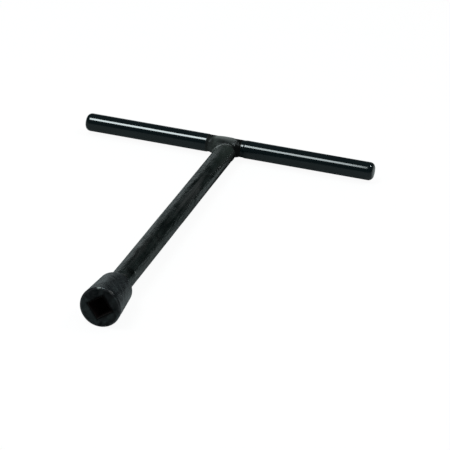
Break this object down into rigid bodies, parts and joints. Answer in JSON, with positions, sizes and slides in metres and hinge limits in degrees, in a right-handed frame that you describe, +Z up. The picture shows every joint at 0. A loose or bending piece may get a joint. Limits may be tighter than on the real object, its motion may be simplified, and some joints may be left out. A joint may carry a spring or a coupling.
{
  "type": "tap wrench",
  "caption": "Fixed T-handle tap wrench: long round steel shaft with a square-socket head at one end and a round crossbar welded across the other.",
  "frame": {"origin": "centre of the square hole's mouth, in the nose face of the socket head", "axes": "+Y runs up the shaft from the nose to the crossbar, +X along the crossbar, +Z up, square to the flat of the T"},
  "size_m": [0.2, 0.28, 0.024],
  "materials": {
    "handle_enamel": "gloss black enamel on a drawn steel bar",
    "shaft_enamel": "satin black enamel on rolled steel rod",
    "socket_black": "satin blue-black on a turned steel head",
    "weld_enamel": "satin black enamel over a rippled weld bead"
  },
  "bodies": {
    "root": {"crossbar": "handle_enamel", "shaft": "shaft_enamel", "socket_head": "socket_black", "crossbar_weld": "weld_enamel", "socket_weld": "weld_enamel"}
  },
  "joints": []
}
